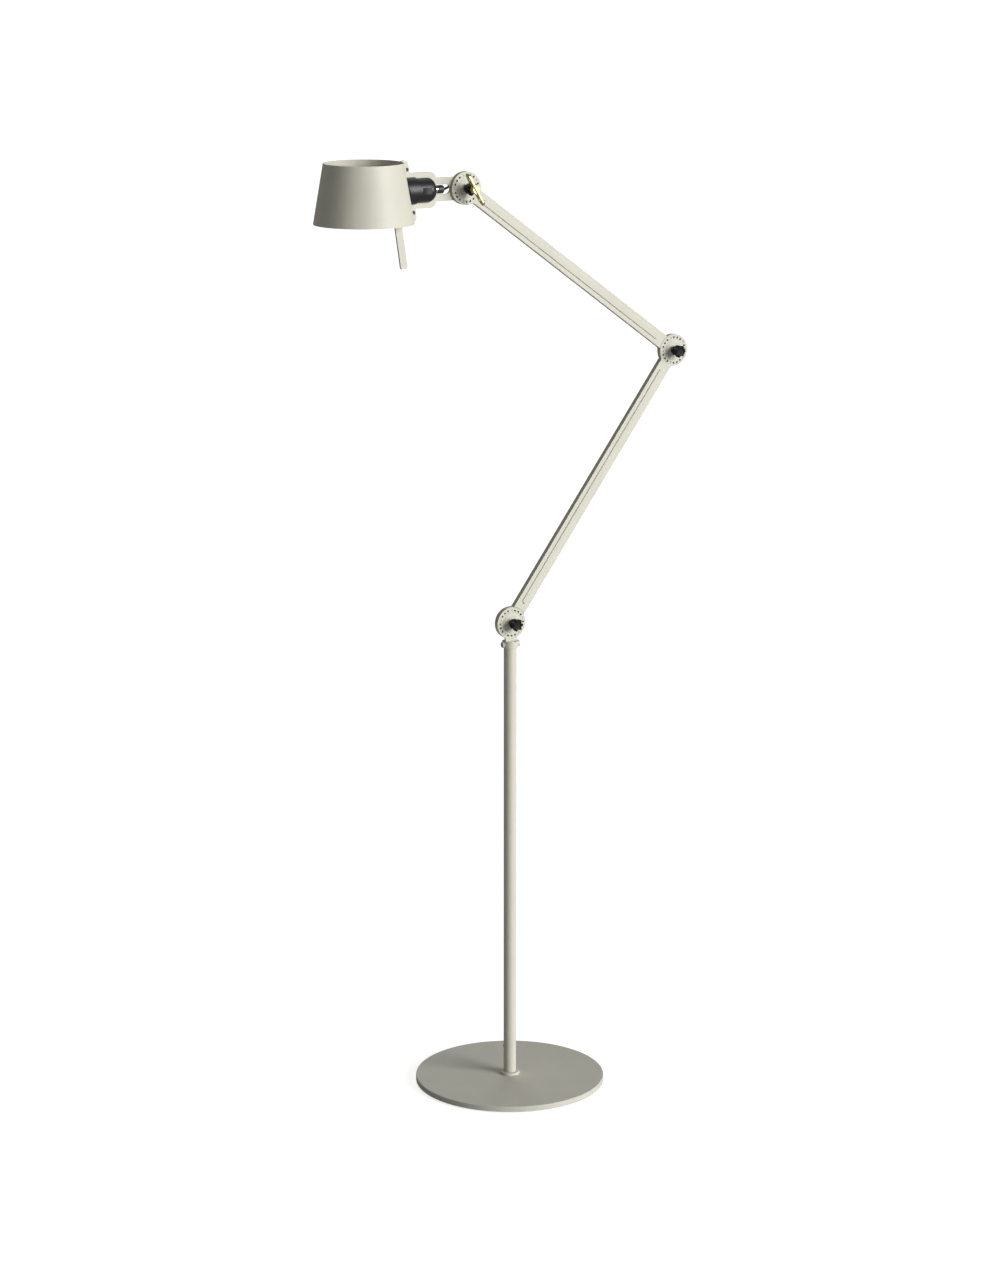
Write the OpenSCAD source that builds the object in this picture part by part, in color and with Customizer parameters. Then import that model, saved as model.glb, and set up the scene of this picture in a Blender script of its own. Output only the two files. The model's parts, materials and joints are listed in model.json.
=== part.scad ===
// Floor lamp with a round base, a swivelling pole head, two flat folding arms and a tilting cone shade.
// Origin at the middle of the base on the floor, +Z up. The arms move in the XZ plane, the head points
// towards -X, and the clamp knobs are on the -Y side.

/* [Base and pole] */
// Diameter of the round base plate
base_d = 300; // [260:10:360]
// Thickness of the base plate with its floor pad
base_h = 10; // [8:1:16]
// Outer diameter of the pole
pole_d = 20; // [20:0.5:20]
// Height of the shoulder joint above the floor
shoulder_z = 750; // [600:10:900]

/* [Arms] */
// Distance between the joints of the lower arm
lower_len = 500; // [350:10:600]
// Distance between the joints of the upper arm
upper_len = 460; // [320:10:560]
// Angle of the lower arm above +X
lower_deg = 54; // [36:18:72]
// Angle of the upper arm above +X
upper_deg = 144; // [144:1:144]
// Width of both arms
arm_w = 22; // [20:1:26]
// Thickness of both arms
arm_t = 9; // [9:0.5:9]

/* [Joints] */
// Diameter of the joint discs
disc_d = 50; // [50:1:54]
// Number of holes in the ring of each front disc
ring_count = 20; // [20:1:20]
// Diameter of the hole ring
ring_d = 40.4; // [38:0.2:42]
// Diameter of one ring hole
ring_hole_d = 3.3; // [2:0.1:3.4]
// Diameter of the pivot bolts
bolt_d = 8; // [8:1:8]

/* [Head] */
// Outer diameter of the shade at its top edge
shade_top_d = 119; // [110:1:126]
// Outer diameter of the shade at its bottom edge
shade_bottom_d = 150; // [140:1:156]
// Height of the shade
shade_h = 89.2; // [84:0.2:96]
// Wall thickness of the shade
shade_wall = 1.2; // [1:0.1:2]
// Distance from the head joint to the middle of the shade
shade_reach = 170.3; // [168:0.1:176]
// Diameter of the lampholder behind its collar
holder_d = 36.5; // [36:0.5:38]
// Length of the handle below the head joint
handle_drop = 115; // [100:1:130]

/* [Lead] */
// Diameter of the lead that runs inside the lamp
lead_d = 4; // [4:0.1:4]

/* [Hidden] */

$fn = 64;
round_fn = 128;
play = 0.05;
gap = 0.1;

paint = [0.71, 0.70, 0.65];
base_paint = [0.58, 0.57, 0.54];
black = [0.06, 0.06, 0.06];
brass = [0.86, 0.80, 0.55];
steel = [0.72, 0.72, 0.74];
glass = [0.95, 0.93, 0.86];
rubber = [0.12, 0.12, 0.12];

half = arm_t / 2;
lap = 0.5;
disc_r = disc_d / 2;
disc_clear = disc_r + 0.5;
bolt_r = bolt_d / 2;
bore_r = bolt_r + play;
ring_step = 360 / ring_count;
pin_step = 72;

shoulder = [0, 0, shoulder_z];
elbow = shoulder + lower_len * [cos(lower_deg), 0, sin(lower_deg)];
head = elbow + upper_len * [cos(upper_deg), 0, sin(upper_deg)];

pad_h = 1.5;
pad_inset = 4;
edge_r = 1.2;
pole_r = pole_d / 2;
pole_in_r = pole_r - 1.5;
spigot_r = pole_in_r - play;
spigot_in_r = 6.5;
spigot_len = 66;
clamp_z = shoulder_z - 34;
clamp_half = 5;
clamp_top = clamp_z + clamp_half;
clamp_r = 12.5;
barrel_r = 5;
barrel_left = 12.8;
barrel_right = 15.5;
screw_r = 2.5;
plug_top = 36;
gland_z = 52;
gland_r = 3.5;
collar_r = 15.5;
collar_h = 4;
collar_edge = 2;
stem_w = 20;
tongue_w = 8.6;
tongue_len = 16;

cup_front = half + 1.6;
bush_front = 12.6;
knob_back = 12.8;
knob_front = 24.5;
knob_r = 10;
knob_lobes = 7;
wing_back = 24.8;
wing_front = 36.6;
wing_half_len = 27.5;
wing_t = 5;
wing_hole_x = 17.8;
wing_deg = -59.5;

lead_r = lead_d / 2;
run_r = lead_r - 0.15;
coil_r = 11;
near_coil_y = half + 0.4 + lead_r;
far_coil_y = near_coil_y + lead_d + 0.2;
channel_w = 18;
channel_floor = -1.5;
channel_end = 31;
channel_lead_y = channel_floor + 0.5 + lead_r;
clip_pitch = 125;

rib_w = 9;
rib_top_w = 7;
rib_h = 1.5;
rib_end = 40;
fillet_r = 6;

head_y = (lap + half) / 2;
shade_slope = (shade_bottom_d - shade_top_d) / 2 / shade_h;
shade_tilt = atan(shade_slope);
shade_mid_r = (shade_bottom_d + shade_top_d) / 4;
wall_x = shade_mid_r - shade_reach;
saddle_t = 2;
saddle_gap = 1;
collar_gap = 0.4;
saddle_w = 24;
saddle_half_h = 42;
rivet_y = 8.5;
rivet_z = 35;
spacer_r = 3;
small_screw_r = 2;
ear_w = 13.8;
ear_half_h = 47;
ear_drop = 2;
ear_r = 8;
ear_start = 21.2;
ear_screw_x = 9.1;
ear_screw_z = 32.6;

holder_r = holder_d / 2;
dome_x = -64.5;
dome_r = 12;
dome_tip = dome_x + dome_r;
body_start = -85;
body_r = 20;
thread_r = 18;
body_end = -122;
holder_wall = 2;
holder_rim = 3;
neck_half = 17.5;
fork_half = 26.7;
fork_end = -49;
fork_corner = 11;
slot_half = 7.3;
slot_end = -25.5;
grip_x = -47;
grip_end = -36.6;
handle_w = 11.5;
handle_tip_r = 2.5;
handle_tilt = 8.5;
handle_x = -116;
handle_z = -32.5;
tab_h = 9;
insert_x = -89;
bulb_x = -150;
bulb_r = 22.5;
glass_t = 0.8;
neck_x = -119;
rocker_tilt = 8;
rocker_x = -73;
rocker_len = 14;
rocker_h = 9;
rocker_depth = 1.7;
rocker_pin_r = 0.8;

// ---- placing ----

module at_shoulder() { translate(shoulder) children(); }
module at_elbow() { translate(elbow) children(); }
module at_head() { translate(head) children(); }
// Along the lower or the upper arm: local +X runs from its first joint to its second.
module on_lower() { translate(shoulder) rotate([0, -lower_deg, 0]) children(); }
module on_upper() { translate(elbow) rotate([0, -upper_deg, 0]) children(); }
// Along the shade's wall: local +X is the wall's outward normal, at the wall's middle.
module on_wall() { translate([wall_x, head_y, 0]) rotate([0, -shade_tilt, 0]) children(); }

// ---- shapes ----

// A flat outline in the XZ plane, from y0 back to y1.
module slab(y0, y1) { translate([0, y1, 0]) rotate([90, 0, 0]) linear_extrude(y1 - y0) children(); }
// A cylinder or cone along Y, from its front y0 to its back y1.
module pin_y(r, y0, y1, r_front = -1) {
    front = r_front < 0 ? r : r_front;
    translate([0, y1, 0]) rotate([90, 0, 0]) cylinder(h = y1 - y0, r1 = r, r2 = front);
}
// A cylinder or cone along X, from x0 to x1.
module pin_x(r, x0, x1, r_end = -1) {
    last = r_end < 0 ? r : r_end;
    translate([x0, 0, 0]) rotate([0, 90, 0]) cylinder(h = x1 - x0, r1 = r, r2 = last);
}
// A body turned about the X axis from an outline of [radius, x] points.
module turned_x() { rotate([0, 90, 0]) rotate_extrude($fn = round_fn) children(); }

// The corners between a disc round the origin and a bar of half width hw that leaves it along +X.
function corner_arc(r, hw, f, side) =
    let (fx = sqrt(pow(r + f, 2) - pow(hw + f, 2)), turn = atan2(fx, hw + f))
    [for (i = [0:8]) let (a = turn * (side > 0 ? i / 8 : 1 - i / 8))
        [fx - (f + play) * sin(a), side * (hw + f - (f + play) * cos(a))]];
module corner_fillet(r, hw, f) { polygon(concat(corner_arc(r, hw, f, 1), corner_arc(r, hw, f, -1))); }
module ring_of_holes(r, count, first = 0, step = ring_step) {
    for (i = [0:count - 1]) rotate(first + i * step) translate([ring_d / 2, 0]) circle(r, $fn = 24);
}

// ---- swept lead ----

function unit(v) = v / norm(v);
function spline(a, b, c, d, t) = 0.5 * (2 * b + (c - a) * t + (2 * a - 5 * b + 4 * c - d) * t * t
    + (3 * b - a - 3 * c + d) * t * t * t);
function smooth(p, k) = [for (i = [0:len(p) - 2]) for (j = [0:k - 1])
    spline(p[max(i - 1, 0)], p[i], p[i + 1], p[min(i + 2, len(p) - 1)], j / k), p[len(p) - 1]];
function heading(p, i) = unit(p[min(i + 1, len(p) - 1)] - p[max(i - 1, 0)]);
// A tube of radius r along the points p. The vector up is never parallel to the route.
module tube(p, r, up, sides = 10) {
    n = len(p);
    rings = [for (i = [0:n - 1])
        let (t = heading(p, i), u = unit(cross(t, up)), v = cross(u, t))
        for (s = [0:sides - 1]) p[i] + r * (cos(360 * s / sides) * u + sin(360 * s / sides) * v)];
    walls = [for (i = [0:n - 2]) for (s = [0:sides - 1])
        let (a = i * sides + s, b = i * sides + (s + 1) % sides)
        [a, b, b + sides, a + sides]];
    start = [[for (s = [0:sides - 1]) sides - 1 - s]];
    finish = [[for (s = [0:sides - 1]) (n - 1) * sides + s]];
    polyhedron(rings, concat(start, walls, finish), 4);
}
// One turn of the lead round a pivot, in a plane across the Y axis. The runs are a little thinner than
// the turns, so that a run ends inside its turn.
module coil(y) {
    translate([0, y, 0]) rotate([90, 0, 0]) rotate_extrude($fn = 48)
        translate([coil_r, 0]) circle(lead_r, $fn = 16);
}

// ---- base and pole ----

module base_plate() {
    color(base_paint) difference() {
        rotate_extrude($fn = round_fn) union() {
            translate([0, pad_h]) square([base_d / 2 - edge_r, base_h - pad_h]);
            translate([0, pad_h]) square([base_d / 2, base_h - pad_h - edge_r]);
            translate([base_d / 2 - edge_r, base_h - edge_r]) circle(edge_r, $fn = 32);
        }
        translate([0, 0, -1]) cylinder(h = base_h + 2, r = bolt_r + 0.3);
        translate([0, 0, -1]) cylinder(h = pad_h + 6, r = 8);
    }
}
module base_pad() {
    color(rubber) cylinder(h = pad_h, r = base_d / 2 - pad_inset, $fn = round_fn);
}
module foot_collar() {
    inner = pole_r + play;
    color(paint) translate([0, 0, base_h]) rotate_extrude($fn = round_fn) union() {
        translate([inner, 0]) square([collar_r - inner, collar_h - collar_edge]);
        translate([inner, 0]) square([collar_r - inner - collar_edge, collar_h]);
        translate([collar_r - collar_edge, collar_h - collar_edge]) circle(collar_edge, $fn = 32);
    }
}
module pole_tube() {
    color(paint) difference() {
        translate([0, 0, base_h]) cylinder(h = clamp_z - base_h, r = pole_r);
        translate([0, 0, base_h - 1]) cylinder(h = clamp_z - base_h + 2, r = pole_in_r);
        translate([0, 0, gland_z]) rotate([-90, 0, 0]) cylinder(h = pole_r + 1, r = gland_r);
        translate([0, 0, clamp_z]) pin_x(screw_r + 0.2, -pole_r - 1, 0);
    }
}
module pole_plug() {
    color(steel) difference() {
        translate([0, 0, base_h]) cylinder(h = plug_top - base_h, r = pole_in_r);
        translate([0, 0, base_h - 1]) cylinder(h = plug_top - base_h - 5, r = bolt_r);
    }
}
module foot_bolt() {
    color(steel) union() {
        translate([0, 0, pad_h + 0.2]) cylinder(h = 4.8, r = 6.9);
        translate([0, 0, pad_h + 4]) cylinder(h = 22, r = bolt_r);
    }
}
module cord_grommet() {
    color(rubber) difference() {
        union() {
            translate([0, 0, gland_z]) rotate([-90, 0, 0])
                translate([0, 0, pole_in_r - 1]) cylinder(h = 4.5, r = gland_r);
            difference() {
                translate([0, 0, gland_z]) rotate([-90, 0, 0])
                    translate([0, 0, pole_r - 2]) cylinder(h = 5.6, r1 = 6, r2 = 4.4);
                translate([0, 0, gland_z - 10]) cylinder(h = 20, r = pole_r);
            }
        }
        translate([0, 0, gland_z]) rotate([-90, 0, 0]) cylinder(h = pole_r - 0.5, r = lead_r);
    }
}
module pole_clamp() {
    color(paint) difference() {
        union() {
            translate([0, 0, clamp_z - clamp_half]) cylinder(h = 2 * clamp_half, r = clamp_r);
            translate([0, 0, clamp_z]) pin_x(barrel_r, -barrel_left, barrel_right);
        }
        translate([0, 0, clamp_z - clamp_half - 1]) cylinder(h = clamp_half + 1, r = pole_r);
        translate([0, 0, clamp_z - clamp_half - 1]) cylinder(h = 2 * clamp_half + 2, r = pole_in_r);
        translate([0, 0, clamp_z]) pin_x(screw_r, -barrel_left - 1, 0);
    }
}
module clamp_screw() {
    color(paint) difference() {
        translate([0, 0, clamp_z]) union() {
            pin_x(screw_r, -barrel_left - 1, -pole_in_r - play);
            pin_x(4.6, -barrel_left - 1.8, -barrel_left);
        }
        translate([0, 0, clamp_z]) rotate([0, 90, 0])
            translate([0, 0, -barrel_left - 4]) cylinder(h = 3, r = 2.3, $fn = 6);
    }
}
module pole_lead() {
    bend = [[0, pole_r - 1, gland_z], [0, 7, gland_z], [0, 3.5, gland_z + 1.5], [0, 1, gland_z + 5],
        [0, 0, gland_z + 12], [0, 0, gland_z + 24]];
    color(black) tube(concat(smooth(bend, 3), [[0, 0, clamp_top - spigot_len - 1]]), run_r, [1, 0, 0]);
}

// ---- swivelling neck on the pole ----

module pole_spigot() {
    color(steel) difference() {
        translate([0, 0, clamp_top - spigot_len]) cylinder(h = spigot_len + 0.4, r = spigot_r);
        translate([0, 0, clamp_top - spigot_len - 1]) cylinder(h = spigot_len + 3, r = spigot_in_r);
        translate([-lead_r - 0.6, 0, clamp_top - 9]) cube([lead_d + 1.2, pole_r, 12]);
    }
}
module pole_bracket() {
    stem_bottom = clamp_top + 0.4 - shoulder_z;
    color(paint) at_shoulder() slab(-half, -lap) difference() {
        union() {
            circle(disc_r, $fn = round_fn);
            rotate(-90) corner_fillet(disc_r, stem_w / 2, fillet_r);
            translate([-stem_w / 2, stem_bottom]) square([stem_w, -stem_bottom]);
            translate([-tongue_w / 2, stem_bottom - tongue_len]) square([tongue_w, tongue_len + 1]);
        }
        circle(bore_r);
        ring_of_holes(ring_hole_d / 2, ring_count);
    }
}
module neck_lead() {
    z = shoulder_z;
    route = [[0, 0, clamp_top - spigot_len], [0, 0, z - 78], [0, 0.6, z - 64], [0, 1.8, z - 50],
        [0, 3, z - 40], [0, 4.1, z - 34], [0, 5.4, z - 29.5], [0.4, 6.5, z - 26.6], [1.4, 7.2, z - 24],
        [3, 7.2, z - 20], [6, near_coil_y, z - 14], [9.2, near_coil_y, z - 8], [coil_r, near_coil_y, z]];
    color(black) union() {
        tube(smooth(route, 3), run_r, [1, 0, 0]);
        at_shoulder() coil(near_coil_y);
    }
}

// ---- one clamped joint, at the origin ----

module friction_washer() {
    color(rubber) difference() {
        pin_y(23, -lap, lap - gap);
        pin_y(bore_r, -1, 1);
    }
}
module index_pins(first) {
    color(paint) slab(-half - 0.2, -lap) ring_of_holes(ring_hole_d / 2, 5, first, pin_step);
}
module cup_washer() {
    color(paint) difference() {
        union() {
            pin_y(15.5, -cup_front, -half, 12.5);
            pin_y(8.5, -cup_front - 0.6, -half);
        }
        pin_y(bore_r, -cup_front - 1, 0);
    }
}
module joint_bush() {
    color(black) difference() {
        union() {
            pin_y(6.4, -bush_front, -cup_front - 0.6);
            pin_y(7.6, -bush_front, -bush_front + 2.4);
        }
        pin_y(bore_r, -bush_front - 1, 0);
    }
}
module pivot_bolt(reach) {
    color(steel) union() {
        pin_y(bolt_r, -reach, half + 2);
        translate([0, half + 6.4, 0]) rotate([90, 0, 0]) cylinder(h = 5.3, r = 7.4, $fn = 6);
    }
}
module back_washer() {
    color(steel) difference() {
        pin_y(8.3, half + gap, half + 1.1);
        pin_y(bore_r, 0, half + 2);
    }
}
module star_knob(through) {
    color(black) difference() {
        union() {
            pin_y(8.2, -knob_back - 2.6, -knob_back);
            slab(-knob_front, -knob_back - 2) union() {
                circle(8.2);
                for (i = [0:knob_lobes - 1]) rotate(i * 360 / knob_lobes)
                    translate([knob_r - 2.4, 0]) circle(2.4, $fn = 32);
            }
        }
        pin_y(bore_r, through ? -knob_front - 1 : -knob_front + 2, 0);
    }
}
module wing_nut() {
    depth = wing_front - wing_back;
    middle = (wing_front + wing_back) / 2;
    color(brass) at_head() rotate([0, -wing_deg, 0]) difference() {
        union() {
            translate([0, -middle, -wing_t / 2]) linear_extrude(wing_t) difference() {
                square([2 * wing_half_len - depth, depth], center = true);
                for (side = [-1, 1]) translate([side * wing_hole_x, 0]) circle(2.6, $fn = 32);
            }
            for (side = [-1, 1]) translate([side * (wing_half_len - depth / 2), -middle, -wing_t / 2])
                wing_tip(side);
            pin_y(7, -wing_front + 2, -wing_back);
        }
        pin_y(bore_r, -wing_front + 3.5, 0);
    }
}
module wing_tip(side) {
    depth = wing_front - wing_back;
    difference() {
        cylinder(h = wing_t, r = depth / 2);
        translate([side * (wing_hole_x - wing_half_len + depth / 2), 0, -1])
            cylinder(h = wing_t + 2, r = 2.6, $fn = 32);
    }
}

// ---- arms ----

// The raised rib on an arm's front face.
module rib(length) {
    translate([0, -half, 0]) rotate([90, 0, 0]) {
        for (x = [rib_end, length - rib_end]) translate([x, 0, 0])
            cylinder(h = rib_h, r1 = rib_w / 2, r2 = rib_top_w / 2);
        translate([rib_end, 0, 0]) rotate([90, 0, 90]) linear_extrude(length - 2 * rib_end)
            polygon([[-rib_w / 2, 0], [rib_w / 2, 0], [rib_top_w / 2, rib_h], [-rib_top_w / 2, rib_h]]);
    }
}
// One flat arm from the origin along +X: its first disc is at the back, its second at the front.
module arm(length) {
    difference() {
        union() {
            slab(lap, half) difference() {
                union() {
                    circle(disc_r, $fn = round_fn);
                    corner_fillet(disc_r, arm_w / 2, fillet_r);
                    translate([0, -arm_w / 2]) square([length, arm_w]);
                }
                translate([length, 0]) circle(disc_clear, $fn = round_fn);
            }
            slab(-lap, lap) difference() {
                translate([0, -arm_w / 2]) square([length, arm_w]);
                circle(disc_clear, $fn = round_fn);
                translate([length, 0]) circle(disc_clear, $fn = round_fn);
            }
            slab(-half, -lap) difference() {
                union() {
                    translate([length, 0]) circle(disc_r, $fn = round_fn);
                    translate([length, 0]) rotate(180) corner_fillet(disc_r, arm_w / 2, fillet_r);
                    translate([0, -arm_w / 2]) square([length, arm_w]);
                }
                circle(disc_clear, $fn = round_fn);
                translate([length, 0]) ring_of_holes(ring_hole_d / 2, ring_count);
            }
            rib(length);
        }
        pin_y(bore_r, -half - 1, half + 1);
        translate([length, 0, 0]) pin_y(bore_r, -half - 1, half + 1);
        slab(channel_floor, half + 1) union() {
            translate([channel_end + channel_w / 2, -channel_w / 2])
                square([length - 2 * channel_end - channel_w, channel_w]);
            for (x = [channel_end + channel_w / 2, length - channel_end - channel_w / 2])
                translate([x, 0]) circle(channel_w / 2);
        }
    }
}
// The lead behind one arm: round the first pivot, along the channel and round the second pivot.
module arm_lead(length) {
    near = near_coil_y;
    far = far_coil_y;
    low = channel_lead_y;
    route = [[0, far, coil_r], [8, far, 10.4], [17, far, 8], [25, far - 1.6, 5], [33, 7.6, 2.6],
        [42, 5, 1], [52, 2.8, 0.2], [64, low, 0], [90, low, 0]];
    back = [[length - 90, low, 0], [length - 66, low, 0], [length - 54, 2.8, 0.2], [length - 44, 5, 1],
        [length - 35, 6.7, 2.6], [length - 27, near, 5], [length - 18, near, 8], [length - 8, near, 10.4],
        [length, near, coil_r]];
    color(black) union() {
        coil(far);
        tube(concat(smooth(route, 3), smooth(back, 3)), run_r, [0, 0, 1]);
        translate([length, 0, 0]) coil(near);
    }
}
// Clips that hold the lead in an arm's channel.
module arm_clips(length) {
    color(black) for (x = [length / 2 - clip_pitch, length / 2, length / 2 + clip_pitch]) difference() {
        translate([x - 3, channel_floor, -channel_w / 2]) cube([6, 5, channel_w]);
        translate([0, channel_lead_y, 0]) pin_x(lead_r, x - 4, x + 4);
    }
}

// ---- head ----

// The fork plate's upper and lower ears, which run along the shade's wall.
module ear_outline() {
    translate([wall_x, 0]) rotate(shade_tilt) translate([0, -ear_drop]) union() {
        translate([0, -ear_half_h]) square([ear_w - ear_r, 2 * ear_half_h]);
        translate([0, ear_r - ear_half_h]) square([ear_w, 2 * (ear_half_h - ear_r)]);
        for (s = [-1, 1]) translate([ear_w - ear_r, s * (ear_half_h - ear_r)]) circle(ear_r);
    }
}
// Places its children at the four saddle rivets, with +X along the wall's outward normal.
module at_rivets() {
    on_wall() for (y = [-rivet_y, rivet_y]) for (z = [-rivet_z, rivet_z])
        translate([0, y, z]) children();
}
// Places its children on the two ear screws' centre lines, at y = 0.
module at_ear_screws() {
    on_wall() for (z = [-ear_screw_z, ear_screw_z]) translate([ear_screw_x, -head_y, z - ear_drop])
        children();
}
module shade_solid(inset) {
    translate([-shade_reach, head_y, -shade_h / 2 - inset]) cylinder(h = shade_h + 2 * inset,
        r1 = shade_bottom_d / 2 - inset + inset * shade_slope,
        r2 = shade_top_d / 2 - inset - inset * shade_slope, $fn = round_fn);
}
// The part of the fork's opening that takes the lampholder from the shade up to x = last.
module holder_cut(r, last) {
    translate([-shade_reach - 1, -r]) square([shade_reach + 1 + last, 2 * r]);
}
module head_bracket() {
    color(paint) at_head() difference() {
        slab(lap, half) difference() {
            union() {
                circle(disc_r, $fn = round_fn);
                rotate(180) corner_fillet(disc_r, neck_half, fillet_r);
                translate([fork_end - fork_corner, -neck_half])
                    square([fork_corner - fork_end, 2 * neck_half]);
                for (s = [-1, 1]) translate([fork_end - fork_corner, s * (fork_half - fork_corner)])
                    circle(fork_corner);
                translate([fork_end - fork_corner, fork_corner - fork_half])
                    square([fork_corner, 2 * (fork_half - fork_corner)]);
                translate([-shade_reach, -fork_half])
                    square([shade_reach + fork_end - fork_corner, 2 * fork_half]);
                ear_outline();
            }
            circle(bore_r);
            holder_cut(holder_r + play, dome_x);
            holder_cut(body_r + play, body_start);
            for (s = [-1, 1]) translate([dome_x, s * (holder_r - dome_r)]) circle(dome_r + play);
            translate([dome_x - 1, dome_r - holder_r]) square([dome_r + 1, 2 * (holder_r - dome_r)]);
            translate([dome_x, -slot_half]) square([slot_end - slot_half - dome_x, 2 * slot_half]);
            translate([slot_end - slot_half, 0]) circle(slot_half);
        }
        on_wall() translate([-200 + saddle_gap + saddle_t, -50, -100]) cube([200, 100, 200]);
        at_ear_screws() pin_y(small_screw_r + play, 0, arm_t);
    }
}
// Two angles, above and below the lampholder, each with a flange on the shade and a tab behind an ear.
module saddle_plate() {
    flange_h = saddle_half_h - ear_start;
    tab_x = ear_w - 1;
    color(paint) at_head() difference() {
        on_wall() for (z = [-saddle_half_h, ear_start]) union() {
            translate([saddle_gap, -saddle_w / 2, z]) cube([saddle_t, saddle_w, flange_h]);
            translate([saddle_gap, half - head_y, z]) cube([tab_x - saddle_gap, saddle_t, flange_h]);
        }
        translate([0, head_y, 0]) pin_x(body_r + play, -shade_reach, body_start + 1);
        at_rivets() pin_x(small_screw_r + play, -1, 10);
        at_ear_screws() pin_y(small_screw_r + play, 0, arm_t);
    }
}
module saddle_spacers() {
    color(black) at_head() difference() {
        at_rivets() pin_x(spacer_r, -6, saddle_gap);
        shade_solid(0);
        at_rivets() pin_x(small_screw_r + play, -10, 10);
    }
}
module saddle_rivets() {
    outside = saddle_gap + saddle_t;
    color(paint) at_head() at_rivets() union() {
        pin_x(small_screw_r, -3.5, outside + 0.5);
        pin_x(3.2, outside, outside + 1.2, 2.4);
        pin_x(3.2, -3.8, -2.4);
    }
}
module ear_screws() {
    tab_back = half + saddle_t;
    color(black) at_head() at_ear_screws() union() {
        pin_y(small_screw_r, 0, tab_back + 1);
        pin_y(3.2, lap - 2, lap, 2.4);
        translate([0, tab_back + 2.2, 0]) rotate([90, 0, 0]) cylinder(h = 2.2, r = 3.6, $fn = 6);
    }
}
module shade() {
    color(paint) at_head() difference() {
        shade_solid(0);
        shade_solid(shade_wall);
        translate([0, head_y, 0]) pin_x(thread_r + 0.4, -shade_reach, 0);
        at_rivets() pin_x(small_screw_r + play, -10, 4);
        slab(lap - 0.2, half + 0.2) handle_tab(0.2);
    }
}
// The short arm of the handle plate that goes out through the shade's wall to the saddle plate.
module handle_tab(grow) {
    translate([handle_x, handle_z - tab_h / 2 - grow]) square([40, tab_h + 2 * grow]);
}
module handle() {
    end_r = handle_w / 2;
    corner_x = end_r - handle_tip_r;
    length = (handle_drop + handle_z) / cos(handle_tilt) - handle_tip_r;
    color(paint) at_head() difference() {
        slab(lap, half) union() {
            handle_tab(0);
            translate([handle_x, handle_z]) rotate(handle_tilt) union() {
                circle(end_r);
                translate([-end_r, -length]) square([handle_w, length]);
                for (s = [-1, 1]) translate([s * corner_x, -length]) circle(handle_tip_r);
                translate([-corner_x, -length - handle_tip_r]) square([2 * corner_x, handle_tip_r + 1]);
            }
        }
        on_wall() translate([saddle_gap, -50, -100]) cube([200, 100, 200]);
    }
}
module lampholder_dome() {
    inner = holder_r - holder_wall;
    color(black) at_head() translate([0, head_y, 0]) difference() {
        union() {
            pin_x(holder_r, body_start, dome_x);
            translate([dome_x, 0, 0]) dome_end(dome_r);
        }
        pin_x(inner, body_start - 1, dome_x + 0.5);
        translate([dome_x, 0, 0]) dome_end(dome_r - holder_wall);
        pin_x(5, dome_tip - 10, dome_tip + 1);
        translate([rocker_x - rocker_len / 2 - 0.5, -holder_r - 1, -rocker_h / 2 - 0.3])
            cube([rocker_len + 1, 5, rocker_h + 0.6]);
        translate([rocker_x, rocker_depth - holder_r, 0])
            cylinder(h = rocker_h + 2, r = rocker_pin_r + play, center = true, $fn = 32);
    }
}
// A rounded end cap that starts at x = 0 and rises along +X by its corner radius.
module dome_end(corner) {
    flat = holder_r - dome_r;
    turned_x() intersection() {
        union() {
            translate([flat, 0]) circle(corner);
            translate([0, -corner]) square([flat, 2 * corner]);
        }
        square([holder_r + 1, corner + 1]);
    }
}
module lampholder_body() {
    color(black) at_head() difference() {
        union() {
            difference() {
                translate([0, head_y, 0]) pin_x(body_r, body_end + 14, body_start);
                on_wall() translate([collar_gap - 200, -50, -100]) cube([200, 100, 200]);
            }
            translate([0, head_y, 0]) pin_x(thread_r, body_end, body_start - 1);
        }
        translate([0, head_y, 0]) pin_x(thread_r - holder_rim, body_end - 1, body_start + 1);
    }
}
module lampholder_insert() {
    color(glass) at_head() translate([0, head_y, 0]) union() {
        pin_x(thread_r - holder_rim, insert_x - 3, insert_x + 3);
        pin_x(4, insert_x - 6, insert_x - 2);
    }
}
module shade_ring() {
    color(black) at_head() translate([0, head_y, 0]) difference() {
        union() {
            pin_x(23, -116, -111.5);
            for (i = [0:11]) rotate([i * 30, 0, 0]) translate([0, 23, 0]) pin_x(1.6, -116, -111.5);
        }
        pin_x(thread_r, -117, -111);
    }
}
module switch_rocker() {
    crown_r = 32.6;
    color(black) at_head() translate([rocker_x, head_y - holder_r + rocker_depth, 0])
        rotate([0, 0, -rocker_tilt]) union() {
            intersection() {
                translate([-rocker_len / 2, -6, -rocker_h / 2]) cube([rocker_len, 8, rocker_h]);
                translate([0, crown_r - 2.8, -rocker_h])
                    cylinder(h = 2 * rocker_h, r = crown_r, $fn = round_fn);
            }
            cylinder(h = rocker_h + 1.6, r = rocker_pin_r, center = true, $fn = 32);
        }
}
module nipple() {
    color(steel) at_head() translate([0, head_y, 0]) difference() {
        union() {
            pin_x(5, dome_tip - 6, grip_x);
            pin_x(7.2, dome_tip - 5, dome_tip - holder_wall - 0.2);
        }
        pin_x(lead_r + play, dome_tip - 8, grip_x + 1);
    }
}
module cord_grip() {
    color(black) at_head() translate([0, head_y, 0]) difference() {
        union() {
            pin_x(6.3, grip_x, grip_end - 1.5);
            pin_x(6.3, grip_end - 1.5, grip_end, 5);
        }
        pin_x(lead_r + play, grip_x - 1, grip_end + 1);
    }
}
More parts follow.
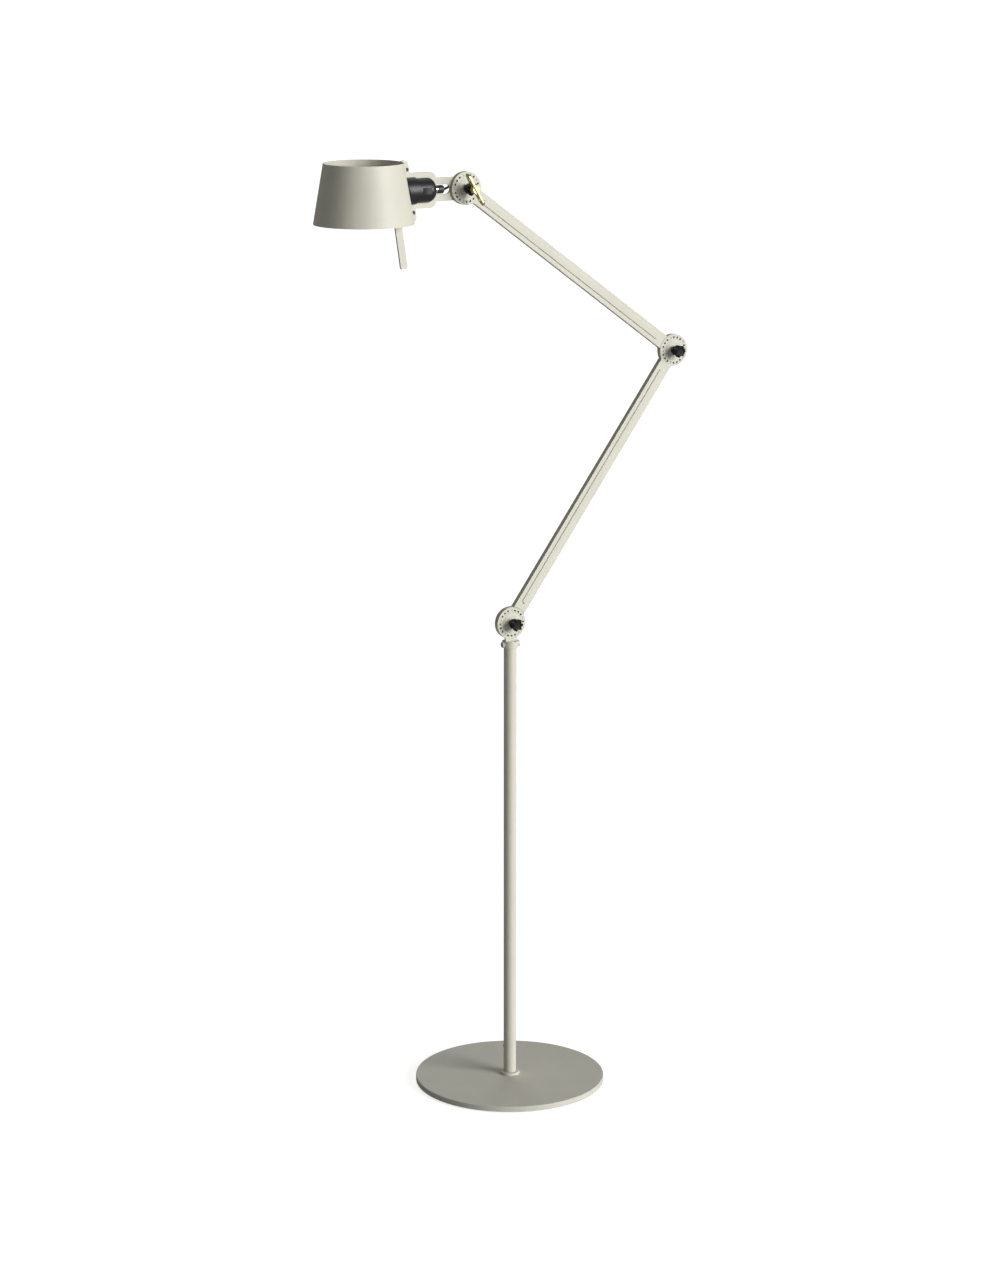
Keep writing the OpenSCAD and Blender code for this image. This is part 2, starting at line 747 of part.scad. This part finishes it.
module head_lead() {
    y = head_y;
    far = far_coil_y;
    route = [[grip_end - 4, y, 0], [grip_end, y, 0], [grip_end + 3, y + 0.7, 0.2], [-30.6, 5, 0.6],
        [-27.2, 6.9, 1.3], [-23.5, 8.7, 2.8], [-18.5, far - 0.4, 5.6], [-11, far, 8.8],
        [-5, far, 10.6], [0, far, coil_r]];
    color(black) at_head() union() {
        tube(concat([[insert_x + 3, y, 0]], smooth(route, 3)), run_r, [0, 0, 1]);
        coil(far);
    }
}
module bulb_cap() {
    color(steel) at_head() translate([0, head_y, 0]) union() {
        pin_x(12.9, neck_x, neck_x + 20);
        pin_x(12.9, neck_x + 20, neck_x + 22.5, 8);
        pin_x(4.5, neck_x + 22, insert_x - 6);
        for (i = [0:4]) pin_x(13.4, neck_x + 2 + i * 4, neck_x + 4 + i * 4);
    }
}
// Half outline of the bulb, with its centre line on the left.
module bulb_outline(inset) {
    translate([0, bulb_x]) circle(bulb_r - inset, $fn = round_fn);
    translate([0, bulb_x + 8]) square([13.2 - inset, neck_x - bulb_x - 8 + inset * 2]);
}
module bulb_glass() {
    color(glass) at_head() translate([0, head_y, 0]) turned_x() difference() {
        bulb_outline(0);
        bulb_outline(glass_t);
        translate([-2 * bulb_r, bulb_x - 2 * bulb_r]) square([2 * bulb_r, 6 * bulb_r]);
        translate([0, neck_x]) square([bulb_r, 5]);
    }
}

base_plate();
base_pad();
foot_collar();
pole_tube();
pole_plug();
foot_bolt();
cord_grommet();
pole_clamp();
clamp_screw();
pole_lead();
pole_spigot();
pole_bracket();
neck_lead();
at_shoulder() friction_washer();  // shoulder_friction_washer
at_shoulder() index_pins(18);  // shoulder_index_pins
at_shoulder() cup_washer();  // shoulder_cup
at_shoulder() joint_bush();  // shoulder_bush
at_shoulder() pivot_bolt(knob_front - 2.5);  // shoulder_bolt
at_shoulder() back_washer();  // shoulder_back_washer
at_shoulder() star_knob(false);  // shoulder_knob
color(paint) on_lower() arm(lower_len);  // lower_arm
on_lower() arm_lead(lower_len);  // lower_lead
on_lower() arm_clips(lower_len);  // lower_clips
at_elbow() friction_washer();  // elbow_friction_washer
at_elbow() index_pins(36);  // elbow_index_pins
at_elbow() cup_washer();  // elbow_cup
at_elbow() joint_bush();  // elbow_bush
at_elbow() pivot_bolt(knob_front - 2.5);  // elbow_bolt
at_elbow() back_washer();  // elbow_back_washer
at_elbow() star_knob(false);  // elbow_knob
color(paint) on_upper() arm(upper_len);  // upper_arm
on_upper() arm_lead(upper_len);  // upper_lead
on_upper() arm_clips(upper_len);  // upper_clips
at_head() friction_washer();  // head_friction_washer
at_head() index_pins(36);  // head_index_pins
at_head() cup_washer();  // head_cup
at_head() joint_bush();  // head_bush
at_head() pivot_bolt(wing_front - 4);  // head_bolt
at_head() back_washer();  // head_back_washer
at_head() star_knob(true);  // head_knob
wing_nut();
head_bracket();
saddle_plate();
saddle_spacers();
saddle_rivets();
ear_screws();
shade();
handle();
lampholder_dome();
lampholder_body();
lampholder_insert();
shade_ring();
switch_rocker();
nipple();
cord_grip();
head_lead();
bulb_cap();
bulb_glass();
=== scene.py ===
"""Looks of the adjustable arm floor lamp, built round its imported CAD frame.

Metres, +Z up, with the base's middle at the origin. The lamp's head is towards -X and its clamp knobs are
towards -Y. Names in _DEG are degrees, and the sizes and profiles of single pieces are in mm.
"""

import json
import math

import bmesh
import bpy
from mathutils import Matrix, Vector


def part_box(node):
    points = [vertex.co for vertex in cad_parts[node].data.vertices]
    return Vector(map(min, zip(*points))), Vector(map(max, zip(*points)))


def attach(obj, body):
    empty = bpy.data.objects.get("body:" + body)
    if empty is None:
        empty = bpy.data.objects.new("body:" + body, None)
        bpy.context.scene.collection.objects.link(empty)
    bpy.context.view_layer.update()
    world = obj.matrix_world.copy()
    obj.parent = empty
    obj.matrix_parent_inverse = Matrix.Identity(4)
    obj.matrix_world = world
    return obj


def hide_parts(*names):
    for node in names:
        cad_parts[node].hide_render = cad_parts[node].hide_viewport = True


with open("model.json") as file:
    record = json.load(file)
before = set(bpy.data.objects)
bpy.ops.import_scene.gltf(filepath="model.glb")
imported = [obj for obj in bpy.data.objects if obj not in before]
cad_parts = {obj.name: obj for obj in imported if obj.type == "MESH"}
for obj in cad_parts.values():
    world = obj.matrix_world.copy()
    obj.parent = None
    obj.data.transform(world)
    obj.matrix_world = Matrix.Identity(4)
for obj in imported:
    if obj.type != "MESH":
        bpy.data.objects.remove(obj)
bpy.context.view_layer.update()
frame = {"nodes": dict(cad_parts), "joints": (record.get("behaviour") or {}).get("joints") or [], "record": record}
CAD = frame["nodes"]
JOINTS = {j["name"]: Vector(j["pos_m"]) for j in frame["joints"]}
BODIES = frame["record"]["behaviour"]["bodies"]
SLOTS = {s["node"]: s["material_slot"] for s in frame["record"]["subparts"]}
MM = 0.001


# ---- camera and stage ----

LENS_MM = 94.5
SENSOR_MM = 36
CAMERA_REACH = 200
CAMERA_AT = (-2.552, -4.354, 1.9133)
CAMERA_TOWARDS = (0.48967, 0.84142, -0.22856)
SKY_COLOR = (1.0, 0.99, 0.97)
SKY_LIGHT = 0.13
FLOOR_HALF = 90.0
FLOOR_GLOW = 0.78
# Just under the pad, so that the two faces do not coincide.
FLOOR_Z = -0.5 * MM


def add_camera():
    data = bpy.data.cameras.new("camera")
    data.lens = LENS_MM
    data.sensor_width = SENSOR_MM
    data.clip_end = CAMERA_REACH
    camera = bpy.data.objects.new("camera", data)
    bpy.context.scene.collection.objects.link(camera)
    camera.location = CAMERA_AT
    camera.rotation_euler = Vector(CAMERA_TOWARDS).to_track_quat("-Z", "Y").to_euler()
    bpy.context.scene.camera = camera


def seen_directly(tree, behind, seen):
    """A strength that is seen where a surface shows directly, and behind where it only lights others."""
    path = tree.nodes.new("ShaderNodeLightPath")
    spread = tree.nodes.new("ShaderNodeMapRange")
    spread.inputs["To Min"].default_value = behind
    spread.inputs["To Max"].default_value = seen
    tree.links.new(path.outputs["Is Camera Ray"], spread.inputs["Value"])
    return spread.outputs["Result"]


def add_world():
    world = bpy.data.worlds.new("studio")
    world.use_nodes = True
    tree = world.node_tree
    background = tree.nodes["Background"]
    background.inputs["Color"].default_value = (*SKY_COLOR, 1)
    tree.links.new(seen_directly(tree, SKY_LIGHT, 1.0), background.inputs["Strength"])
    bpy.context.scene.world = world


def add_sun(name, strength, angle_deg, towards):
    data = bpy.data.lights.new(name, "SUN")
    data.energy = strength
    data.angle = math.radians(angle_deg)
    light = bpy.data.objects.new(name, data)
    bpy.context.scene.collection.objects.link(light)
    light.rotation_euler = Vector(towards).to_track_quat("-Z", "Y").to_euler()


def add_floor():
    bm = bmesh.new()
    bmesh.ops.create_grid(bm, x_segments=1, y_segments=1, size=FLOOR_HALF)
    mesh = bpy.data.meshes.new("floor")
    bm.to_mesh(mesh)
    bm.free()
    floor = bpy.data.objects.new("floor", mesh)
    bpy.context.scene.collection.objects.link(floor)
    floor.location.z = FLOOR_Z
    mesh.materials.append(floor_material())


# ---- materials ----

# The stretch of a noise's values that a colour or roughness runs over.
NOISE_LOW = 0.3
NOISE_HIGH = 0.7


class Look:
    """One Principled material and the nodes that feed it, in object coordinates."""

    def __init__(self, name, color, roughness, metallic=0.0):
        self.material = bpy.data.materials.new(name)
        self.material.use_nodes = True
        self.tree = self.material.node_tree
        self.shader = self.tree.nodes["Principled BSDF"]
        self.place = self.tree.nodes.new("ShaderNodeTexCoord").outputs["Object"]
        self.set("Base Color", (*color, 1))
        self.set("Roughness", roughness)
        self.set("Metallic", metallic)
        self.material.diffuse_color = (*color, 1)

    def set(self, socket, value):
        self.shader.inputs[socket].default_value = value
        return self

    def add(self, kind, **inputs):
        node = self.tree.nodes.new(kind)
        for name, value in inputs.items():
            node.inputs[name.replace("_", " ")].default_value = value
        return node

    def link(self, start, end):
        self.tree.links.new(start, end)

    def noise(self, scale, detail=3.0, stretch=None):
        """Noise with features of about 1 / scale metres, drawn out along an axis where stretch says so."""
        node = self.add("ShaderNodeTexNoise", Scale=scale, Detail=detail)
        place = self.place
        if stretch:
            mapping = self.add("ShaderNodeMapping", Scale=stretch)
            self.link(place, mapping.inputs["Vector"])
            place = mapping.outputs["Vector"]
        self.link(place, node.inputs["Vector"])
        return node.outputs["Fac"]

    def colour(self, low, high, scale, detail=4.0, stretch=None):
        ramp = self.add("ShaderNodeValToRGB")
        ramp.color_ramp.elements[0].position = NOISE_LOW
        ramp.color_ramp.elements[1].position = NOISE_HIGH
        ramp.color_ramp.elements[0].color = (*low, 1)
        ramp.color_ramp.elements[1].color = (*high, 1)
        self.link(self.noise(scale, detail, stretch), ramp.inputs["Fac"])
        self.link(ramp.outputs["Color"], self.shader.inputs["Base Color"])
        return self

    def rough(self, low, high, scale, stretch=None):
        spread = self.add("ShaderNodeMapRange")
        spread.inputs["From Min"].default_value = NOISE_LOW
        spread.inputs["From Max"].default_value = NOISE_HIGH
        spread.inputs["To Min"].default_value = low
        spread.inputs["To Max"].default_value = high
        self.link(self.noise(scale, 2.0, stretch), spread.inputs["Value"])
        self.link(spread.outputs["Result"], self.shader.inputs["Roughness"])
        return self

    def bump(self, scale, depth_mm, strength=0.5, detail=2.0, stretch=None):
        bump = self.add("ShaderNodeBump", Strength=strength, Distance=depth_mm * MM)
        self.link(self.noise(scale, detail, stretch), bump.inputs["Height"])
        self.link(bump.outputs["Normal"], self.shader.inputs["Normal"])
        return self


def shade_of(color, factor):
    return tuple(min(1.0, c * factor) for c in color)


def painted(name, color):
    """Satin powder coat: a fine orange peel and a slight drift in tone."""
    look = Look(name, color, 0.5)
    look.colour(shade_of(color, 0.975), shade_of(color, 1.02), 22.0)
    look.rough(0.45, 0.55, 260.0)
    look.bump(700.0, 0.012, 0.1)
    look.set("Specular IOR Level", 0.4)
    return look.material


def moulded(name, color, low=0.38, high=0.5):
    """Black moulded plastic with a fine spark-eroded grain."""
    look = Look(name, color, low)
    look.colour(shade_of(color, 0.85), shade_of(color, 1.2), 60.0)
    look.rough(low, high, 420.0)
    look.bump(1300.0, 0.01, 0.12)
    return look.material


def knob_plastic():
    """The knobs' dull, deep black."""
    color = (0.006, 0.006, 0.006)
    look = Look("knob_black", color, 0.5)
    look.colour(shade_of(color, 0.8), shade_of(color, 1.3), 80.0)
    look.rough(0.44, 0.58, 350.0)
    look.bump(1100.0, 0.01, 0.15)
    look.set("Specular IOR Level", 0.2)
    return look.material


def sheath():
    """The lead's rubber."""
    color = (0.016, 0.016, 0.017)
    look = Look("lead_sheath", color, 0.45)
    look.colour(shade_of(color, 0.8), shade_of(color, 1.3), 90.0)
    look.rough(0.38, 0.55, 300.0)
    look.bump(900.0, 0.02, 0.3)
    return look.material


def floor_pad():
    color = (0.02, 0.02, 0.02)
    look = Look("pad_rubber", color, 0.8)
    look.colour(shade_of(color, 0.8), shade_of(color, 1.4), 150.0)
    look.rough(0.72, 0.88, 500.0)
    look.bump(1200.0, 0.05, 0.6)
    return look.material


def fibre():
    """The friction washers' pressed fibre."""
    color = (0.05, 0.045, 0.04)
    look = Look("pressed_fibre", color, 0.85)
    look.colour(shade_of(color, 0.7), shade_of(color, 1.4), 700.0)
    look.rough(0.78, 0.92, 500.0)
    look.bump(1800.0, 0.04, 0.6)
    return look.material


def brass():
    color = (0.48, 0.46, 0.265)
    look = Look("polished_brass", color, 0.38, 1.0)
    look.colour(shade_of(color, 0.95), shade_of(color, 1.04), 60.0)
    look.rough(0.34, 0.42, 200.0, (1, 4, 1))
    look.bump(400.0, 0.004, 0.04, stretch=(1, 4, 1))
    return look.material


def zinc():
    color = (0.60, 0.60, 0.62)
    look = Look("zinc_plate", color, 0.33, 1.0)
    look.colour(shade_of(color, 0.9), shade_of(color, 1.08), 200.0)
    look.rough(0.27, 0.42, 700.0, (1, 1, 8))
    look.bump(1600.0, 0.008, 0.25, stretch=(1, 1, 8))
    return look.material


def nickel():
    color = (0.80, 0.79, 0.76)
    look = Look("bright_nickel", color, 0.12, 1.0)
    look.colour(shade_of(color, 0.94), shade_of(color, 1.05), 150.0)
    look.rough(0.08, 0.16, 400.0)
    look.bump(900.0, 0.004, 0.2)
    return look.material


def porcelain():
    color = (0.80, 0.78, 0.72)
    look = Look("glazed_core", color, 0.18)
    look.colour(shade_of(color, 0.97), shade_of(color, 1.03), 80.0)
    look.rough(0.14, 0.24, 200.0)
    look.bump(300.0, 0.02, 0.2)
    look.set("Coat Weight", 0.4)
    return look.material


def opal():
    color = (0.93, 0.91, 0.85)
    look = Look("opal_glass", color, 0.22)
    look.colour(shade_of(color, 0.98), shade_of(color, 1.02), 40.0)
    look.rough(0.18, 0.28, 120.0)
    look.bump(160.0, 0.01, 0.1)
    look.set("Transmission Weight", 0.35)
    look.set("Coat Weight", 0.5)
    return look.material


def floor_material():
    look = Look("pale_floor", (0.6, 0.6, 0.595), 0.9)
    look.colour((0.595, 0.595, 0.59), (0.605, 0.605, 0.6), 0.6)
    look.set("Specular IOR Level", 0.1)
    look.set("Emission Color", (1.0, 1.0, 0.995, 1))
    look.link(seen_directly(look.tree, 0.0, FLOOR_GLOW), look.shader.inputs["Emission Strength"])
    return look.material


LOOKS = {
    "frame_paint": painted("frame_powder_coat", (0.60, 0.585, 0.495)),
    "base_paint": painted("base_powder_coat", (0.576, 0.565, 0.495)),
    "floor_rubber": floor_pad(),
    "lead_rubber": sheath(),
    "friction_fibre": fibre(),
    "black_plastic": moulded("moulded_black", (0.009, 0.009, 0.0095)),
    "knob_plastic": knob_plastic(),
    "black_screw": moulded("blackened_screw", (0.022, 0.022, 0.023), 0.3, 0.42),
    "brass": brass(),
    "steel": zinc(),
    "bright_nipple": nickel(),
    "lampholder_core": porcelain(),
    "bulb_glass": opal(),
}


# ---- pieces ----

SHARP_DEG = 40
WELD_MM = 0.002
FLAT_DEG = 0.5
ROUNDED_DEG = 32


def body_of(node):
    return next(body for body, members in BODIES.items() if node in members)


def add_piece(bm, node, sharp_deg=SHARP_DEG):
    """Makes the piece that stands for a CAD node and rides on the node's body.

    It is shaded smooth, with the edges over the sharp angle kept crisp.
    """
    name = node + "_piece"
    bmesh.ops.recalc_face_normals(bm, faces=bm.faces)
    mesh = bpy.data.meshes.new(name)
    bm.to_mesh(mesh)
    bm.free()
    if "custom_normal" in mesh.attributes:
        mesh.attributes.remove(mesh.attributes["custom_normal"])
    mesh.shade_smooth()
    mesh.set_sharp_from_angle(angle=math.radians(sharp_deg))
    piece = bpy.data.objects.new(name, mesh)
    bpy.context.scene.collection.objects.link(piece)
    mesh.materials.append(LOOKS[SLOTS[node]])
    weight = piece.modifiers.new("flat_faces", "WEIGHTED_NORMAL")
    weight.keep_sharp = True
    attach(piece, body_of(node))
    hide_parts(node)
    return piece


def refine(node, width_mm, segments=3, shaping=None):
    """A copy of a CAD node's mesh, with its triangles welded into faces and its edges rounded."""
    bm = bmesh.new()
    bm.from_mesh(CAD[node].data)
    bmesh.ops.remove_doubles(bm, verts=bm.verts, dist=WELD_MM * MM)
    bmesh.ops.dissolve_limit(bm, angle_limit=math.radians(FLAT_DEG), verts=bm.verts, edges=bm.edges)
    turned = math.radians(ROUNDED_DEG)
    edges = [e for e in bm.edges if e.is_manifold and e.calc_face_angle(0) > turned]
    if width_mm and edges:
        bmesh.ops.bevel(bm, geom=edges, offset=width_mm * MM, offset_type="OFFSET", segments=segments,
                        profile=0.5, affect="EDGES", clamp_overlap=True)
    if shaping:
        shaping(bm)
    return add_piece(bm, node)


# ---- index pins ----

PIN_EDGE_MM = 0.2
PIN_SINK_MM = 1.1


def sunk_pins(node):
    """Index pins whose outer ends lie a little way down their holes."""
    front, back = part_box(node)
    middle = (front[1] + back[1]) / 2

    def sink(bm):
        for vert in bm.verts:
            if vert.co.y < middle:
                vert.co.y += PIN_SINK_MM * MM

    refine(node, PIN_EDGE_MM, shaping=sink)


# ---- shapes ----

def skin(bm, rings, looped=False):
    """Joins rings of equally many points into one closed skin."""
    loops = [[bm.verts.new(point) for point in ring] for ring in rings]
    pairs = list(zip(loops, loops[1:]))
    if looped:
        pairs.append((loops[-1], loops[0]))
    else:
        bm.faces.new(reversed(loops[0]))
        bm.faces.new(loops[-1])
    for near, far in pairs:
        for i, corner in enumerate(near):
            j = (i + 1) % len(near)
            bm.faces.new((corner, near[j], far[j], far[i]))


def ring(centre, axis, radius_mm, along_mm, sides=64):
    """Points round a joint's or the bulb's axis, where radius_mm is a length or a function of the angle."""
    radius_at = radius_mm if callable(radius_mm) else lambda angle: radius_mm
    points = []
    for i in range(sides):
        angle = 2 * math.pi * i / sides
        out = radius_at(angle)
        a = out * math.cos(angle)
        b = out * math.sin(angle)
        place = (a, along_mm, b) if axis == "Y" else (along_mm, a, b)
        points.append(centre + Vector(place) * MM)
    return points


# ---- knobs and wing nut ----

KNOB_LOBES = 7
KNOB_SIDES = 12 * KNOB_LOBES
KNOB_MEAN_R = 8.58
KNOB_LOBE_H = 1.37
KNOB_BORE_R = 4.2
DIMPLE_R = 2.5


def knob_radius(angle):
    """A star knob's outline in mm: round lobes with a deep flute between them."""
    return KNOB_MEAN_R + KNOB_LOBE_H * math.cos(KNOB_LOBES * angle)


def knob_ring(centre, along_mm, star, radius_mm, inset=0.0):
    """One ring of a knob, between a circle (star = 0) and the lobed outline (star = 1)."""
    def radius(angle):
        return star * (knob_radius(angle) - inset) + (1 - star) * radius_mm
    return ring(centre, "Y", radius, along_mm, KNOB_SIDES)


def star_knob(node, centre, through):
    """A dished, rounded star knob, with a blind or a through bore for its bolt."""
    # Along the axis, circle or star, the circle's radius, and how far in from the star's outline.
    profile = [(-23.3, 0, KNOB_BORE_R if through else DIMPLE_R, 0.0),
               (-23.35, 0, 5.0, 0.0),
               (-23.7, 0, 5.7, 0.0),
               (-24.25, 0, 6.3, 0.0),
               (-24.45, 0.5, 6.7, 1.0),
               (-24.35, 1, 0, 0.75),
               (-23.95, 1, 0, 0.3),
               (-23.3, 1, 0, 0.05),
               (-17.2, 1, 0, 0.05),
               (-15.8, 1, 0, 0.35),
               (-15.1, 0.6, 7.4, 0.9),
               (-14.6, 0, 7.4, 0.0),
               (-13.3, 0, 7.4, 0.0),
               (-12.9, 0, 7.0, 0.0),
               (-12.9, 0, KNOB_BORE_R, 0.0)]
    if not through:
        profile.append((-22.3, 0, KNOB_BORE_R, 0.0))
    bm = bmesh.new()
    skin(bm, [knob_ring(centre, *row) for row in profile], looped=through)
    return add_piece(bm, node)


WING_DEG = -59.5
WING_HALF = 27.5
HUB_CLEAR = 8.0
WING_MIDDLE = -30.7
WING_SLIM = 0.15
WING_TAPER = 0.25
DEPTH_TAPER = 0.2
WING_EDGE_MM = 1.0
WING_EDGE_STEPS = 4


def thin_wings(bm, centre):
    """Lets the wing nut's bar taper from its hub to its two tips, in thickness and in depth."""
    along = Vector((math.cos(math.radians(WING_DEG)), 0, math.sin(math.radians(WING_DEG))))
    across = Vector((-along.z, 0, along.x))
    for vert in bm.verts:
        offset = (vert.co - centre) / MM
        reach = max(0.0, abs(offset.dot(along)) - HUB_CLEAR) / (WING_HALF - HUB_CLEAR)
        vert.co -= across * offset.dot(across) * (WING_SLIM + WING_TAPER * reach) * MM
        vert.co.y -= (offset.y - WING_MIDDLE) * DEPTH_TAPER * reach ** 0.5 * MM


# ---- bulb ----

HEAD_Y = 2.5
BALL_X = -150.0
BALL_R = 22.4
BALL_FIRST_DEG = 179
BALL_LAST_DEG = 40
BALL_STEPS = 22
GLASS_T = 0.7
GLASS_END = -119.2


def ball(radius):
    """(x, radius) points in mm along a ball, from near its tip to an angle short of its neck."""
    swing = BALL_FIRST_DEG - BALL_LAST_DEG
    turns = [math.radians(BALL_FIRST_DEG - swing * i / BALL_STEPS) for i in range(BALL_STEPS + 1)]
    return [(BALL_X + radius * math.cos(turn), radius * math.sin(turn)) for turn in turns]


def bulb_glass(centre):
    """A hollow glass ball on a short neck."""
    outer = ball(BALL_R) + [(-131.9, 13.35), (-130.6, 13.0), (-128, 12.95), (GLASS_END, 12.95)]
    inner = ball(BALL_R - GLASS_T) + [(-132.6, 12.6), (-130.6, 12.3), (GLASS_END, 12.3)]
    bm = bmesh.new()
    skin(bm, [ring(centre, "X", radius, x) for x, radius in outer + inner[::-1]])
    return add_piece(bm, "bulb_glass")


def bulb_cap(centre):
    """The screw cap, with a round thread and a stepped contact."""
    first = -118.9
    turns = 5
    pitch = 3.9
    steps = 8 * turns
    thread = []
    for i in range(steps + 1):
        turned = turns * i / steps
        thread.append((first + 0.5 + pitch * turned, 13.0 - 0.35 * math.cos(2 * math.pi * turned)))
    profile = [(first, 12.4)] + thread + [(-98.8, 12.6), (-96.8, 8.2), (-96.7, 4.4), (-95.2, 4.2)]
    bm = bmesh.new()
    skin(bm, [ring(centre, "X", radius, x) for x, radius in profile])
    return add_piece(bm, "bulb_cap")


# ---- ear screws ----

SCREW_SIDES = 48
SOCKET_R = 1.3
SOCKET_FLOOR = -0.4
SOCKET_TOP = -1.42
SCREW_SHARP_DEG = 30


def hexagon(angle):
    """The radius in mm of the hexagon socket at an angle."""
    sixth = math.pi / 3
    return SOCKET_R / math.cos((angle % sixth) - sixth / 2)


def ear_screws(centre):
    """Two domed screws with a hexagon socket, each with a nut behind its tab."""
    head = [(0.1, 2.85), (0.45, 3.15), (0.5, 3.1), (0.5, 2.0), (7.4, 2.0), (7.5, 1.8)]
    dome = [(-1.48, 1.75), (-1.46, 2.2), (-1.3, 2.42), (-0.9, 2.6), (-0.4, 2.8)]
    nut = [(6.5, 3.2), (6.8, 3.5), (8.3, 3.5), (8.65, 3.1)]
    bm = bmesh.new()
    for low in (True, False):
        corners = [v.co for v in CAD["ear_screws"].data.vertices if (v.co.z < centre.z) == low]
        xs = [co.x for co in corners]
        zs = [co.z for co in corners]
        axis = Vector(((min(xs) + max(xs)) / 2, centre.y, (min(zs) + max(zs)) / 2))
        rings = [ring(axis, "Y", hexagon, along, SCREW_SIDES) for along in (SOCKET_FLOOR, SOCKET_TOP)]
        rings += [ring(axis, "Y", radius, along, SCREW_SIDES) for along, radius in dome + head]
        skin(bm, rings)
        skin(bm, [ring(axis, "Y", radius, along, 6) for along, radius in nut])
    return add_piece(bm, "ear_screws", SCREW_SHARP_DEG)


# ---- the lamp ----

EDGE_MM = 0.3
# Plates with index holes, whose edges stay finer.
RINGED = ("pole_bracket", "lower_arm", "upper_arm")
RINGED_EDGE_MM = 0.12
# Edges that are rounded by another width: the base plate's is round in the CAD already.
OTHER_EDGES = {"base_plate": 0, "pole_tube": 0.2, "shade": 0.4}
PINS = ("shoulder_index_pins", "elbow_index_pins", "head_index_pins")
MADE = {"shoulder_knob", "elbow_knob", "head_knob", "wing_nut", "bulb_glass", "bulb_cap", "ear_screws",
        *RINGED, *PINS}

add_camera()
add_world()
add_floor()
add_sun("key", 3.6, 35, (-0.506, 0.8625, -0.277))
add_sun("back", 0.5, 22, (-0.30, -0.515, -1))

HEAD = JOINTS["head_tilt"]
BULB_AXIS = HEAD + Vector((0, HEAD_Y, 0)) * MM
star_knob("shoulder_knob", JOINTS["shoulder_fold"], False)
star_knob("elbow_knob", JOINTS["elbow_fold"], False)
star_knob("head_knob", HEAD, True)
refine("wing_nut", WING_EDGE_MM, WING_EDGE_STEPS, shaping=lambda bm: thin_wings(bm, HEAD))
bulb_glass(BULB_AXIS)
bulb_cap(BULB_AXIS)
ear_screws(HEAD)
for node in RINGED:
    refine(node, RINGED_EDGE_MM)
for node in PINS:
    sunk_pins(node)
for node in CAD:
    if node not in MADE:
        refine(node, OTHER_EDGES.get(node, EDGE_MM))

bpy.context.scene.view_settings.view_transform = "Standard"
